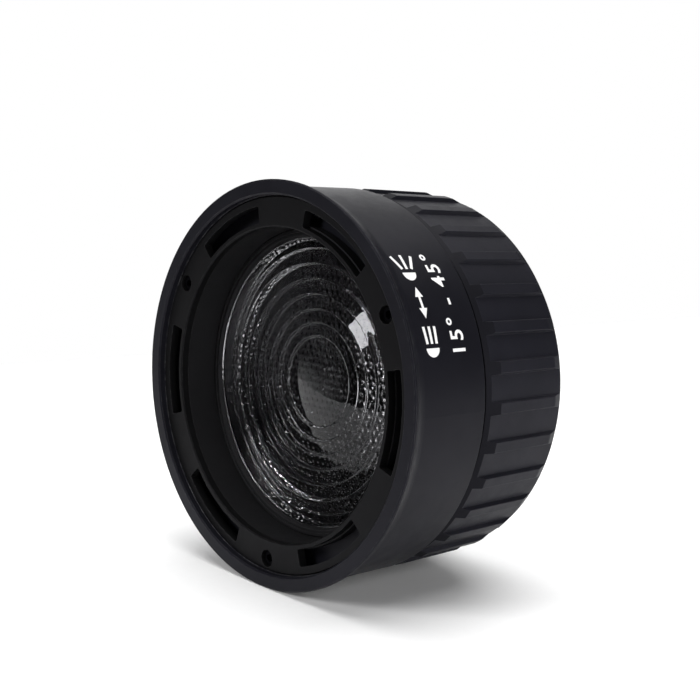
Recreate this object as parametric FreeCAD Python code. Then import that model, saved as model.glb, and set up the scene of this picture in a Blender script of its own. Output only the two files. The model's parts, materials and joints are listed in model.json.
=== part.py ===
"""Compact 4-inch Fresnel lens attachment with a turning zoom ring.

The optical axis is Y.  Light leaves towards -Y and +Z is up.  The origin is the centre of the rear
bayonet's seating face.  Profiles are written as (depth, radius): depth in millimetres behind the
front face of the flange, radius from the optical axis.  Angles are in degrees, measured from +X
towards +Z.  Threads are plain cylinders.
"""
import FreeCAD, Part
import math
import os

Vector = FreeCAD.Vector
AXIS_POINT = Vector(0, 0, 0)
REARWARD = Vector(0, 1, 0)
FORWARD = Vector(0, -1, 0)
SIDEWAYS = Vector(1, 0, 0)

# ---- Overall layout along the axis ----
SEAT_DEPTH = 80.0
BARREL_END = 32.2
RING_START = 32.7
RING_END = 71.5
HOUSING_START = 72.1
HOUSING_END = 77.7

# ---- Clearances and cutting allowances ----
RUNNING_FIT = 0.08
SCREW_FIT = 0.05
PRESS_GAP = 0.02
OVERCUT = 1.0
OVERLAP = 0.1

# ---- Front barrel ----
FLANGE_RADIUS = 66.0
BARREL_RADIUS = 64.1
BARREL_INNER = 61.1
FLANGE_LAND = 1.0
FLARE_LENGTH = 5.0
LIP_INNER = 61.2
LIP_CHAMFER = 0.5
EDGE_CHAMFER = 0.4
PLATE_FACE = 2.5
PLATE_BACK = 5.4
PLATE_POCKET = 61.0
WINDOW_SPACE_RADIUS = 60.6
WEB_FRONT = 9.0
WEB_BACK = 12.0

# ---- Accessory plate ----
PLATE_OUTER = 60.9
PLATE_INNER = 51.0
WINDOW_INNER = 52.5
WINDOW_OUTER = 58.2
WINDOW_SPAN = 32.0
WINDOW_CORNER = 0.8
WINDOW_OFFSET = 32.5
PLATE_SCREW_ANGLES = (30.0, 150.0, 270.0)
PLATE_SCREW_CIRCLE = 57.2
BOSS_RADIUS = 3.35
COUNTERBORE_RADIUS = 2.85
COUNTERBORE_FLOOR = 6.4
BRIDGE_ANGLES = (90.0, 210.0, 330.0)

# ---- Screws ----
M3_RADIUS = 1.5
M3_CLEARANCE = 1.65
SOCKET_HEAD_RADIUS = 2.6
SOCKET_HEAD_HEIGHT = 2.8
SOCKET_DEPTH = 1.6
FRONT_SCREW_END = 14.8
FLAT_HEAD_RADIUS = 2.75
FLAT_HEAD_HEIGHT = 1.3
M2_RADIUS = 1.0
HEX_KEY = 2.5
FLAT_HEAD_KEY = 2.0
FLAT_SOCKET_DEPTH = 1.1
SET_SCREW_KEY = 0.9
SET_SOCKET_DEPTH = 1.2

# ---- Leaf springs behind the plate ----
SPRING_THICKNESS = 0.3
SPRING_WIDTH = 4.4
SPRING_CIRCLE = 56.5
SPRING_RISE = 2.3
SPRING_OUTLINE = (
    (-11.0, 0.0), (-6.0, 0.0), (-2.0, SPRING_RISE), (3.0, SPRING_RISE), (8.0, 0.0), (11.0, 0.0)
)
RIVET_OFFSET = -8.5
RIVET_RADIUS = 0.9
RIVET_HEAD_RADIUS = 1.6
RIVET_HEAD_HEIGHT = 0.6
RIVET_HEAD_ROUNDING = 0.48

# ---- Guide tube ----
GUIDE_INNER = 51.0
GUIDE_OUTER = 53.0
GUIDE_END = 75.6
GUIDE_FLANGE_RADIUS = 60.9
GUIDE_FLANGE_BACK = 15.0
BAND_GROOVES = ((16.2, 18.8), (64.0, 66.8))
BAND_GROOVE_RADIUS = 52.4
BAND_SPLIT = 2.0

# ---- Zoom: lens travel and the cam that drives it ----
FOLLOWER_ANGLES = (90.0, 210.0, 330.0)
FOLLOWER_DEPTH = 32.0
TURN_TO_SPOT = 20.0
TURN_TO_FLOOD = 70.0
TRAVEL_PER_DEGREE = 0.4
BUSH_RADIUS = 2.45
BUSH_INNER = 50.93
BUSH_OUTER = 54.2
FOLLOWER_HEAD_TOP = 55.3
FOLLOWER_HEAD_RADIUS = 2.2
FOLLOWER_SHANK_END = 48.9
FOLLOWER_KEY = 1.5
FOLLOWER_SOCKET_DEPTH = 0.6
SLOT_END_RADIUS = 2.52
SLOT_HALF_WIDTH = 2.6
CAM_OUTER = 55.5
CAM_START = 15.3
CAM_END = 68.2

# ---- Lens and its cell ----
CELL_FRONT = 16.5
CELL_LENGTH = 24.0
CELL_OUTER = 50.92
CELL_POCKET = 49.6
CELL_BORE = 48.6
LENS_RIM_DEPTH = 18.1
LENS_BACK = 25.5
LENS_RADIUS = 49.5
LENS_RIM_INNER = 47.0
LENS_VALLEY = 22.0
LENS_CURVATURE = 70.0
LENS_RINGS = (15.0, 19.5, 24.0, 29.0, 34.0, 39.0, 44.0, LENS_RIM_INNER)
RISER_DRAFT = 0.35
GASKET_THICKNESS = 0.6
CELL_SHOULDER_INNER = 47.4
CELL_SHOULDER = 1.5
RETAINER_FRONT = 16.9
RETAINER_INNER = 47.9
RETAINER_BEVEL = 0.7
RETAINER_NOTCH = 1.6
RETAINER_NOTCH_REACH = 0.9
RETAINER_NOTCH_DEPTH = 0.6

# ---- Zoom ring ----
CORE_OUTER = 60.5
CORE_INNER = 58.2
SPIGOT_FRONT = 28.4
SPIGOT_OUTER = 60.4
HUB_START = 46.0
HUB_END = 56.0
HUB_BORE = CAM_OUTER + PRESS_GAP
DRIVE_SCREW_DEPTH = 51.0
DRIVE_SCREW_TOP = 60.4
DRIVE_SCREW_INNER = 53.4
TIP_FITS = 4
RIM_START = 70.2
RIM_RADIUS = 62.3
RIM_END_RADIUS = 61.7
REAR_FLANGE_INNER = 54.0
REAR_FLANGE_START = 69.5
GRIP_BORE = 60.55
GRIP_END = 70.15
GRIP_START = 34.6
GRIP_NOSE_RADIUS = 62.15
GRIP_RADIUS_FRONT = 62.9
GRIP_RADIUS_REAR = 62.4
RIB_COUNT = 32
RIB_TOP_START = 39.75
RIB_TOP_END = 66.4
RIB_TOP_FRONT = 64.2
RIB_TOP_REAR = 63.7
RIB_BASE_HALF_WIDTH = 2.35
RIB_TOP_HALF_WIDTH = 1.75
RIB_ROUNDING = 0.3
RIB_SINK = 0.6

# ---- Stop pin, wave washer and light seal ----
STOP_PIN_RADIUS = 1.25
STOP_CIRCLE = 55.6
STOP_ANGLE = 125.0
STOP_PIN_START = 69.8
STOP_PIN_END = 73.9
STOP_GROOVE_WIDTH = 2.8
STOP_GROOVE_FLOOR = 74.2
STOP_GROOVE_CORNER = 0.5
STOP_GAP = 0.1
WASHER_RECESS_DEPTH = 0.4
WASHER_RECESS = (57.2, 60.0)
WASHER_RADII = (57.4, 59.8)
WASHER_THICKNESS = 0.3
WASHER_WAVES = 4
SAMPLES_PER_WAVE = 12
WASHER_GAP = 0.02
SEAL_START = 28.8
SEAL_END = 31.4
SEAL_INNER = 60.55

# ---- Rear housing and bayonet: everything stays inside a cone behind the zoom ring ----
HOUSING_RADIUS = 60.5
HOUSING_LAND_END = 72.8
HOUSING_REAR_RADIUS = 54.8
HOUSING_STEP = 75.7
HOUSING_INNER = 41.0
HOUSING_SCREW_DEPTH = 74.1
HOUSING_SCREW_OUTER = 57.2
HOUSING_SCREW_LENGTH = 5.0
BAYONET_RADIUS_FRONT = 54.4
BAYONET_RADIUS_REAR = 52.0
BAYONET_INNER = 39.0
COLLAR_RADIUS = 42.5
COLLAR_NECK = 42.0
COLLAR_END = 86.4
LUG_START = 83.0
LUG_END = 85.4
LUG_RADIUS = 46.2
LUG_SPAN = 38.0
LUG_CORNER = 1.0
LOCK_NOTCH_RADIUS = 1.8
BAYONET_SCREW_CIRCLE = 47.3
BAYONET_SCREW_SPREAD = 20.0
BAYONET_SCREW_END = 75.9


def place(depth, radius, angle=0.0):
    """Point at a depth and radius, turned about the optical axis."""
    turn = math.radians(angle)
    return Vector(radius * math.cos(turn), depth - SEAT_DEPTH, radius * math.sin(turn))


def turned(corners):
    """Solid of revolution; a corner is (depth, radius), or (mid, end) points of an arc."""
    first = place(*corners[0])
    edges = []
    last = first
    for corner in list(corners[1:]) + [corners[0]]:
        if isinstance(corner[0], tuple):
            middle = place(*corner[0])
            end = place(*corner[1])
            edges.append(Part.Arc(last, middle, end).toShape())
        else:
            end = place(*corner)
            edges.append(Part.makeLine(last, end))
        last = end
    return Part.Face(Part.Wire(edges)).revolve(AXIS_POINT, REARWARD, 360)


def ring(start, end, inner, outer):
    """Plain ring between two depths and two radii."""
    return turned([(start, inner), (start, outer), (end, outer), (end, inner)])


def spun(shape, angle):
    """Copy turned about the optical axis, from +X towards +Z."""
    copy = shape.copy()
    copy.rotate(AXIS_POINT, FORWARD, angle)
    return copy


def repeated(shape, angles):
    """One copy of the shape at each angle."""
    return [spun(shape, angle) for angle in angles]


def axial_rod(start, end, radius, circle):
    """Round rod parallel to the optical axis."""
    return Part.makeCylinder(radius, end - start, place(start, circle), REARWARD)


def radial_rod(depth, inner, outer, radius):
    """Round rod that points away from the optical axis."""
    return Part.makeCylinder(radius, outer - inner, place(depth, inner), SIDEWAYS)


def hexagon(centre, direction, key, length):
    """Hexagonal prism, key being the width across its flats."""
    prism_radius = key / math.sqrt(3)
    corners = []
    for step in range(7):
        turn = math.radians(60 * step)
        corners.append(Vector(prism_radius * math.cos(turn), prism_radius * math.sin(turn), 0))
    prism = Part.Face(Part.makePolygon(corners)).extrude(Vector(0, 0, length))
    prism.Placement = FreeCAD.Placement(centre, FreeCAD.Rotation(Vector(0, 0, 1), direction))
    return prism


def arc_slot(start, end, inner, outer, span, corner):
    """Block that follows an arc about the optical axis, with rounded corners."""
    half = span / 2
    edges = [
        Part.Arc(place(start, outer, -half), place(start, outer), place(start, outer, half)).toShape(),
        Part.makeLine(place(start, outer, half), place(start, inner, half)),
        Part.Arc(place(start, inner, half), place(start, inner), place(start, inner, -half)).toShape(),
        Part.makeLine(place(start, inner, -half), place(start, outer, -half)),
    ]
    block = Part.Face(Part.Wire(edges)).extrude(Vector(0, end - start, 0))
    uprights = [edge for edge in block.Edges if runs_along_axis(edge)]
    return block.makeFillet(corner, uprights)


def runs_along_axis(edge):
    """True for a straight edge parallel to the optical axis."""
    ends = [vertex.Point for vertex in edge.Vertexes]
    return len(ends) == 2 and abs(abs(ends[1].y - ends[0].y) - edge.Length) < 1e-6


def round_slot(start, end, inner, outer, half_width):
    """Radial cutter for a straight slot with round ends, its ends centred at the two depths."""
    block = Part.makeBox(
        outer - inner, end - start, 2 * half_width, place(start, inner) - Vector(0, 0, half_width)
    )
    ends = [radial_rod(depth, inner, outer, half_width) for depth in (start, end)]
    return block.fuse(ends).removeSplitter()


def one_or_group(solids):
    """A single solid as it is, several as one group."""
    return solids[0] if len(solids) == 1 else Part.makeCompound(solids)


# ---- Fixed body ----
def front_barrel():
    """Outer shell: flared front flange, lip, pocket for the plate, and the web behind it."""
    flare_start = FLANGE_LAND
    flare_end = FLANGE_LAND + FLARE_LENGTH
    drop = FLANGE_RADIUS - BARREL_RADIUS
    flare_radius = (FLARE_LENGTH ** 2 + drop ** 2) / (2 * drop)
    half_sweep = math.asin(FLARE_LENGTH / flare_radius) / 2
    flare_middle = (
        flare_end - flare_radius * math.sin(half_sweep),
        BARREL_RADIUS + flare_radius * (1 - math.cos(half_sweep)),
    )
    shell = turned([
        (0, LIP_INNER + LIP_CHAMFER),
        (0, FLANGE_RADIUS - EDGE_CHAMFER),
        (EDGE_CHAMFER, FLANGE_RADIUS),
        (flare_start, FLANGE_RADIUS),
        (flare_middle, (flare_end, BARREL_RADIUS)),
        (BARREL_END - EDGE_CHAMFER, BARREL_RADIUS),
        (BARREL_END, BARREL_RADIUS - EDGE_CHAMFER),
        (BARREL_END, BARREL_INNER + EDGE_CHAMFER),
        (BARREL_END - EDGE_CHAMFER, BARREL_INNER),
        (WEB_BACK, BARREL_INNER),
        (WEB_BACK, GUIDE_OUTER + SCREW_FIT),
        (WEB_FRONT, GUIDE_OUTER + SCREW_FIT),
        (WEB_FRONT, WINDOW_SPACE_RADIUS),
        (PLATE_BACK, WINDOW_SPACE_RADIUS),
        (PLATE_BACK, PLATE_POCKET),
        (PLATE_FACE, PLATE_POCKET),
        (PLATE_FACE, LIP_INNER),
        (LIP_CHAMFER, LIP_INNER),
    ])
    screw_hole = axial_rod(WEB_FRONT - OVERCUT, WEB_BACK + OVERCUT, M3_CLEARANCE, PLATE_SCREW_CIRCLE)
    rivet_hole = spring_rod(WEB_FRONT - OVERCUT, WEB_BACK + OVERCUT, RIVET_RADIUS + SCREW_FIT)
    holes = repeated(screw_hole, PLATE_SCREW_ANGLES) + repeated(rivet_hole, BRIDGE_ANGLES)
    return shell.cut(holes)


def window_angles():
    """Centre angles of the windows, a pair beside each plate screw."""
    return [base + side * WINDOW_OFFSET for base in PLATE_SCREW_ANGLES for side in (-1, 1)]


def front_plate():
    """Accessory ring with arc windows and a counterbored boss at each screw."""
    plate = turned([
        (PLATE_FACE + EDGE_CHAMFER, PLATE_INNER),
        (PLATE_FACE, PLATE_INNER + EDGE_CHAMFER),
        (PLATE_FACE, PLATE_OUTER - EDGE_CHAMFER),
        (PLATE_FACE + EDGE_CHAMFER, PLATE_OUTER),
        (PLATE_BACK, PLATE_OUTER),
        (PLATE_BACK, PLATE_INNER),
    ])
    boss = axial_rod(PLATE_BACK - OVERCUT, WEB_FRONT, BOSS_RADIUS, PLATE_SCREW_CIRCLE)
    plate = plate.fuse(repeated(boss, PLATE_SCREW_ANGLES))
    window = arc_slot(
        PLATE_FACE - OVERCUT, PLATE_BACK + OVERCUT, WINDOW_INNER, WINDOW_OUTER, WINDOW_SPAN, WINDOW_CORNER
    )
    counterbore = axial_rod(PLATE_FACE - OVERCUT, COUNTERBORE_FLOOR, COUNTERBORE_RADIUS, PLATE_SCREW_CIRCLE)
    hole = axial_rod(PLATE_FACE, WEB_FRONT + OVERCUT, M3_CLEARANCE, PLATE_SCREW_CIRCLE)
    cutters = repeated(window, window_angles())
    cutters += repeated(counterbore.fuse(hole), PLATE_SCREW_ANGLES)
    return plate.cut(cutters)


def front_screws():
    """Socket screws through plate and web into the guide tube's flange."""
    head_start = COUNTERBORE_FLOOR - SOCKET_HEAD_HEIGHT
    head = axial_rod(head_start, COUNTERBORE_FLOOR, SOCKET_HEAD_RADIUS, PLATE_SCREW_CIRCLE)
    top_edges = [edge for edge in head.Edges if abs(edge.CenterOfMass.y - place(head_start, 0).y) < 1e-6]
    head = head.makeChamfer(EDGE_CHAMFER, top_edges)
    shank = axial_rod(COUNTERBORE_FLOOR - OVERLAP, FRONT_SCREW_END, M3_RADIUS, PLATE_SCREW_CIRCLE)
    mouth = place(head_start - OVERCUT, PLATE_SCREW_CIRCLE)
    socket = hexagon(mouth, REARWARD, HEX_KEY, SOCKET_DEPTH + OVERCUT)
    screw = head.fuse(shank).cut(socket)
    return one_or_group(repeated(screw, PLATE_SCREW_ANGLES))


def spring_rod(start, end, radius):
    """Axial rod through the riveted end of a leaf spring that lies at +X."""
    base = place(start, SPRING_CIRCLE) + Vector(0, 0, RIVET_OFFSET)
    return Part.makeCylinder(radius, end - start, base, REARWARD)


def accessory_springs():
    """Stamped leaf springs that press an accessory's lugs against the back of the plate."""
    upper = []
    lower = []
    for along, rise in SPRING_OUTLINE:
        foot = place(WEB_FRONT - rise, SPRING_CIRCLE - SPRING_WIDTH / 2) + Vector(0, 0, along)
        lower.append(foot)
        upper.append(foot - Vector(0, SPRING_THICKNESS, 0))
    outline = Part.makePolygon(lower + upper[::-1] + [lower[0]])
    strip = Part.Face(outline).extrude(Vector(SPRING_WIDTH, 0, 0))
    strip = strip.cut(spring_rod(WEB_FRONT - OVERCUT, WEB_FRONT + OVERCUT, RIVET_RADIUS + SCREW_FIT))
    return one_or_group(repeated(strip, BRIDGE_ANGLES))


def spring_rivets():
    """Round-headed rivets that hold the leaf springs on the web."""
    head_base = WEB_FRONT - SPRING_THICKNESS
    head = spring_rod(head_base - RIVET_HEAD_HEIGHT, head_base, RIVET_HEAD_RADIUS)
    top_depth = place(head_base - RIVET_HEAD_HEIGHT, 0).y
    top_edges = [edge for edge in head.Edges if abs(edge.CenterOfMass.y - top_depth) < 1e-6]
    head = head.makeFillet(RIVET_HEAD_ROUNDING, top_edges)
    rivet = head.fuse(spring_rod(head_base - OVERLAP, WEB_BACK, RIVET_RADIUS))
    return one_or_group(repeated(rivet, BRIDGE_ANGLES))


def zoom_depths():
    """Depths of the followers at the spot end and at the flood end of the zoom."""
    spot = FOLLOWER_DEPTH - TURN_TO_SPOT * TRAVEL_PER_DEGREE
    flood = FOLLOWER_DEPTH + TURN_TO_FLOOD * TRAVEL_PER_DEGREE
    return spot, flood


def guide_tube():
    """Inner tube: smooth bore for the lens cell, straight slots, front flange, band grooves."""
    corners = [
        (PLATE_BACK, GUIDE_INNER),
        (PLATE_BACK, GUIDE_OUTER),
        (WEB_BACK, GUIDE_OUTER),
        (WEB_BACK, GUIDE_FLANGE_RADIUS),
        (GUIDE_FLANGE_BACK, GUIDE_FLANGE_RADIUS),
        (GUIDE_FLANGE_BACK, GUIDE_OUTER),
    ]
    for start, end in BAND_GROOVES:
        corners += [
            (start, GUIDE_OUTER), (start, BAND_GROOVE_RADIUS), (end, BAND_GROOVE_RADIUS), (end, GUIDE_OUTER)
        ]
    corners += [(GUIDE_END, GUIDE_OUTER), (GUIDE_END, GUIDE_INNER)]
    tube = turned(corners)
    spot, flood = zoom_depths()
    slot = round_slot(spot, flood, GUIDE_INNER - OVERCUT, GUIDE_OUTER + OVERCUT, SLOT_END_RADIUS)
    thread = axial_rod(
        WEB_BACK - OVERCUT, GUIDE_FLANGE_BACK + OVERCUT, M3_RADIUS + SCREW_FIT, PLATE_SCREW_CIRCLE
    )
    set_hole = radial_rod(
        HOUSING_SCREW_DEPTH, GUIDE_INNER - OVERCUT, GUIDE_OUTER + OVERCUT, M2_RADIUS + SCREW_FIT
    )
    cutters = repeated(slot, FOLLOWER_ANGLES)
    cutters += repeated(thread, PLATE_SCREW_ANGLES)
    cutters += repeated(set_hole, BRIDGE_ANGLES)
    return tube.cut(cutters)


def glide_bands():
    """Split low-friction bands in the grooves of the guide tube."""
    bands = []
    inner = BAND_GROOVE_RADIUS + PRESS_GAP
    outer = GUIDE_OUTER + SCREW_FIT
    split = Part.makeBox(outer, GUIDE_END, BAND_SPLIT, place(0, GUIDE_INNER))
    for start, end in BAND_GROOVES:
        band = ring(start + SCREW_FIT, end - SCREW_FIT, inner, outer)
        bands.append(band.cut(split))
    return one_or_group(bands)


def light_seal():
    """Felt ring glued inside the rear end of the barrel."""
    return ring(SEAL_START, SEAL_END, SEAL_INNER, BARREL_INNER - PRESS_GAP)


def wave_washer():
    """Thin wavy spring washer between the zoom ring and the rear housing."""
    floor = HOUSING_START + WASHER_RECESS_DEPTH
    middle = (RING_END + floor) / 2
    amplitude = (floor - RING_END - WASHER_THICKNESS) / 2 - WASHER_GAP
    samples = SAMPLES_PER_WAVE * WASHER_WAVES

    def loop(radius, side):
        curve = Part.BSplineCurve()
        points = []
        for step in range(samples):
            angle = 360.0 * step / samples
            wave = amplitude * math.sin(math.radians(WASHER_WAVES * angle))
            points.append(place(middle + wave + side * WASHER_THICKNESS / 2, radius, angle))
        curve.interpolate(Points=points, PeriodicFlag=True)
        return curve.toShape()

    inner, outer = WASHER_RADII
    loops = [loop(inner, -1), loop(outer, -1), loop(outer, 1), loop(inner, 1)]
    faces = [Part.makeRuledSurface(loops[i], loops[(i + 1) % 4]) for i in range(4)]
    shell = Part.Shell([face for part in faces for face in part.Faces])
    shell.sewShape()
    solid = Part.Solid(Part.Shell(shell.Faces))
    if solid.Volume < 0:
        solid.reverse()
    return solid


def rear_housing():
    """Tapered rear ring that closes the back and carries the washer, stop groove and bayonet."""
    body = turned([
        (HOUSING_START, GUIDE_OUTER + SCREW_FIT),
        (HOUSING_START, HOUSING_RADIUS - EDGE_CHAMFER),
        (HOUSING_START + EDGE_CHAMFER, HOUSING_RADIUS),
        (HOUSING_LAND_END, HOUSING_RADIUS - PRESS_GAP),
        (HOUSING_END, HOUSING_REAR_RADIUS),
        (HOUSING_END, HOUSING_INNER),
        (HOUSING_STEP, HOUSING_INNER),
        (HOUSING_STEP, GUIDE_OUTER + SCREW_FIT),
    ])
    recess = ring(HOUSING_START - OVERCUT, HOUSING_START + WASHER_RECESS_DEPTH, *WASHER_RECESS)
    set_hole = radial_rod(
        HOUSING_SCREW_DEPTH, GUIDE_OUTER - OVERCUT, HOUSING_RADIUS + OVERCUT, M2_RADIUS + SCREW_FIT
    )
    cutters = [recess, stop_groove()] + repeated(set_hole, BRIDGE_ANGLES)
    thread = axial_rod(
        HOUSING_STEP - OVERCUT, HOUSING_END + OVERCUT, M3_RADIUS + SCREW_FIT, BAYONET_SCREW_CIRCLE
    )
    cutters += repeated(thread, bayonet_screw_angles())
    return body.cut(cutters)


def stop_groove():
    """Arc groove that the stop pin runs in, ending just past the pin at both limits."""
    half_width = STOP_GROOVE_WIDTH / 2
    reach = math.degrees((STOP_PIN_RADIUS + STOP_GAP) / STOP_CIRCLE)
    span = TURN_TO_SPOT + TURN_TO_FLOOD + 2 * reach
    middle = STOP_ANGLE + (TURN_TO_FLOOD - TURN_TO_SPOT) / 2
    groove = arc_slot(
        HOUSING_START - OVERCUT,
        STOP_GROOVE_FLOOR,
        STOP_CIRCLE - half_width,
        STOP_CIRCLE + half_width,
        span,
        STOP_GROOVE_CORNER,
    )
    return spun(groove, middle)


def housing_screws():
    """Radial set screws that fix the rear housing on the guide tube."""
    outer = HOUSING_SCREW_OUTER
    pin = radial_rod(HOUSING_SCREW_DEPTH, outer - HOUSING_SCREW_LENGTH, outer, M2_RADIUS)
    floor = place(HOUSING_SCREW_DEPTH, outer - SET_SOCKET_DEPTH)
    socket = hexagon(floor, SIDEWAYS, SET_SCREW_KEY, SET_SOCKET_DEPTH + OVERCUT)
    return one_or_group(repeated(pin.cut(socket), BRIDGE_ANGLES))


def bayonet_screw_angles():
    """Two screws between each pair of lugs."""
    return [base + side * BAYONET_SCREW_SPREAD for base in PLATE_SCREW_ANGLES for side in (-1, 1)]


def bayonet_mount():
    """Seating flange and collar with three lugs, one of them notched for the lock pin."""
    body = turned([
        (HOUSING_END, BAYONET_INNER),
        (HOUSING_END, BAYONET_RADIUS_FRONT),
        (SEAT_DEPTH, BAYONET_RADIUS_REAR),
        (SEAT_DEPTH, COLLAR_RADIUS),
        (LUG_START, COLLAR_RADIUS),
        (LUG_START, COLLAR_NECK),
        (COLLAR_END - EDGE_CHAMFER, COLLAR_NECK),
        (COLLAR_END, COLLAR_NECK - EDGE_CHAMFER),
        (COLLAR_END, BAYONET_INNER + EDGE_CHAMFER),
        (COLLAR_END - EDGE_CHAMFER, BAYONET_INNER),
    ])
    lug = arc_slot(LUG_START, LUG_END, BAYONET_INNER + OVERCUT, LUG_RADIUS, LUG_SPAN, LUG_CORNER)
    body = body.fuse(repeated(lug, BRIDGE_ANGLES))
    notch = axial_rod(LUG_START - OVERCUT, LUG_END + OVERCUT, LOCK_NOTCH_RADIUS, LUG_RADIUS)
    screw = flat_screw(SEAT_DEPTH, HOUSING_END - OVERCUT, SCREW_FIT)
    return body.cut([spun(notch, BRIDGE_ANGLES[0])] + repeated(screw, bayonet_screw_angles()))


def flat_screw(face, end, margin=0.0):
    """Countersunk screw shape, head flush with the face depth, pointing forward at +X."""
    head_base = face - FLAT_HEAD_HEIGHT
    centre = place(head_base, BAYONET_SCREW_CIRCLE)
    head = Part.makeCone(
        M3_RADIUS + margin, FLAT_HEAD_RADIUS + margin, FLAT_HEAD_HEIGHT, centre, REARWARD
    )
    shank = axial_rod(end, head_base + OVERLAP, M3_RADIUS + margin, BAYONET_SCREW_CIRCLE)
    return head.fuse(shank)


def bayonet_screws():
    """Countersunk screws that hold the bayonet on the rear housing."""
    face = SEAT_DEPTH - SCREW_FIT
    floor = place(face - FLAT_SOCKET_DEPTH, BAYONET_SCREW_CIRCLE)
    socket = hexagon(floor, REARWARD, FLAT_HEAD_KEY, FLAT_SOCKET_DEPTH + OVERCUT)
    screw = flat_screw(face, BAYONET_SCREW_END).cut(socket)
    return one_or_group(repeated(screw, bayonet_screw_angles()))


# ---- Zoom ring body ----
def ring_core():
    """Metal core of the zoom ring: front spigot, hub on the cam sleeve, rear rim and flange."""
    core = turned([
        (SPIGOT_FRONT, CORE_INNER),
        (SPIGOT_FRONT, SPIGOT_OUTER - EDGE_CHAMFER),
        (SPIGOT_FRONT + EDGE_CHAMFER, SPIGOT_OUTER),
        (RING_START, SPIGOT_OUTER),
        (RING_START, CORE_OUTER),
        (RIM_START, CORE_OUTER),
        (RIM_START, RIM_RADIUS),
        (RING_END - EDGE_CHAMFER, RIM_END_RADIUS),
        (RING_END, RIM_END_RADIUS - EDGE_CHAMFER),
        (RING_END, REAR_FLANGE_INNER),
        (REAR_FLANGE_START, REAR_FLANGE_INNER),
        (REAR_FLANGE_START, CORE_INNER),
        (HUB_END, CORE_INNER),
        (HUB_END, HUB_BORE),
        (HUB_START, HUB_BORE),
        (HUB_START, CORE_INNER),
    ])
    pin_hole_radius = STOP_PIN_RADIUS + PRESS_GAP
    stop_hole = axial_rod(STOP_PIN_START - OVERLAP, RING_END + OVERCUT, pin_hole_radius, STOP_CIRCLE)
    drive_hole = drive_screw_shape(SCREW_FIT)
    return core.cut([spun(stop_hole, STOP_ANGLE)] + repeated(drive_hole, drive_angles()))


def drive_angles():
    """Screw angles halfway between neighbouring cam slots at the screws' depth."""
    slot_shift = (DRIVE_SCREW_DEPTH - FOLLOWER_DEPTH) / TRAVEL_PER_DEGREE
    half_pitch = 180 / len(FOLLOWER_ANGLES)
    return [angle - slot_shift + half_pitch for angle in FOLLOWER_ANGLES]


def drive_screw_shape(margin=0.0):
    """Countersunk radial screw at +X, from just under the grip into the cam sleeve."""
    head_base = DRIVE_SCREW_TOP + margin - FLAT_HEAD_HEIGHT
    head = Part.makeCone(
        M3_RADIUS + margin,
        FLAT_HEAD_RADIUS + margin,
        FLAT_HEAD_HEIGHT,
        place(DRIVE_SCREW_DEPTH, head_base),
        SIDEWAYS,
    )
    shank_end = DRIVE_SCREW_INNER - TIP_FITS * margin
    shank = radial_rod(DRIVE_SCREW_DEPTH, shank_end, head_base + OVERLAP, M3_RADIUS + margin)
    return head.fuse(shank)


def drive_screws():
    """Screws that make the ring core and the cam sleeve turn as one."""
    floor = place(DRIVE_SCREW_DEPTH, DRIVE_SCREW_TOP - FLAT_SOCKET_DEPTH)
    socket = hexagon(floor, SIDEWAYS, FLAT_HEAD_KEY, FLAT_SOCKET_DEPTH + OVERCUT)
    return one_or_group(repeated(drive_screw_shape().cut(socket), drive_angles()))


def rib_outline(front_radius, rear_radius, half_width):
    """Closed four-sided outline of a rib at +X, at its root or at its top, longer than the grip."""
    aside = Vector(0, 0, half_width)
    front = place(RING_START - OVERCUT, front_radius)
    rear = place(GRIP_END + OVERCUT, rear_radius)
    return Part.makePolygon([front - aside, front + aside, rear + aside, rear - aside, front - aside])


def rib():
    """One rib of the grip at +X: a bar with sloped flanks and softened long edges."""
    root = rib_outline(GRIP_RADIUS_FRONT - RIB_SINK, GRIP_RADIUS_REAR - RIB_SINK, RIB_BASE_HALF_WIDTH)
    top = rib_outline(RIB_TOP_FRONT, RIB_TOP_REAR, RIB_TOP_HALF_WIDTH)
    bar = Part.makeLoft([root, top], True, True)
    long_edges = [edge for edge in bar.Edges if edge.Length > GRIP_END - RING_START]
    top_edges = [edge for edge in long_edges if edge.CenterOfMass.x > GRIP_RADIUS_FRONT]
    return bar.makeFillet(RIB_ROUNDING, top_edges)


def grip_sleeve():
    """Rubber sleeve with evenly spaced ribs, its front and rear bevelled by one cone each."""
    body = turned([
        (RING_START - OVERCUT, GRIP_BORE),
        (RING_START - OVERCUT, GRIP_RADIUS_FRONT),
        (GRIP_END + OVERCUT, GRIP_RADIUS_REAR),
        (GRIP_END + OVERCUT, GRIP_BORE),
    ])
    envelope = turned([
        (GRIP_START, GRIP_BORE - OVERCUT),
        (GRIP_START, GRIP_NOSE_RADIUS),
        (RIB_TOP_START, RIB_TOP_FRONT),
        ((RIB_TOP_START + RIB_TOP_END) / 2, RIB_TOP_FRONT + OVERCUT),
        (RIB_TOP_END, RIB_TOP_REAR),
        (GRIP_END, GRIP_RADIUS_REAR - PRESS_GAP),
        (GRIP_END, GRIP_BORE - OVERCUT),
    ])
    angles = [360.0 * step / RIB_COUNT for step in range(RIB_COUNT)]
    return body.fuse(repeated(rib(), angles)).common(envelope)


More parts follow.
